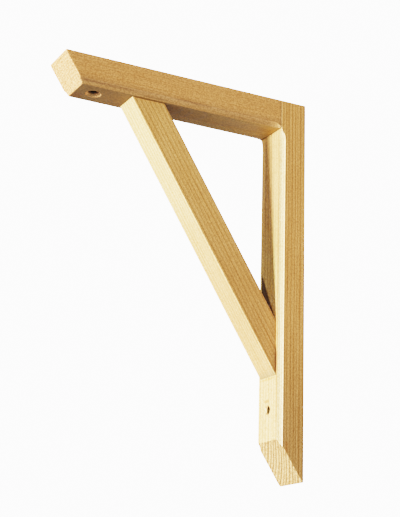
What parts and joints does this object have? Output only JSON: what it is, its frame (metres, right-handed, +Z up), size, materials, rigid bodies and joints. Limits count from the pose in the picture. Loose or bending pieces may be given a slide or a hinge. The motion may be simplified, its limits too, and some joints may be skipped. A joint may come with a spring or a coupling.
{
  "type": "shelf bracket",
  "caption": "Triangular shelf bracket of raw pine: an upright leg for the wall, a level arm for the shelf and a diagonal brace, with routed inner edges and countersunk screw holes.",
  "frame": {"origin": "middle of the leg's back face, where it lies on the wall", "axes": "+Z up along the leg, +Y into the wall, the arm points along -Y, +X across the bracket"},
  "size_m": [0.0264, 0.168, 0.245],
  "materials": {
    "pine": "raw planed softwood, matt, with fine straight grain"
  },
  "bodies": {
    "root": {"leg": "pine", "arm": "pine", "brace": "pine"}
  },
  "joints": []
}
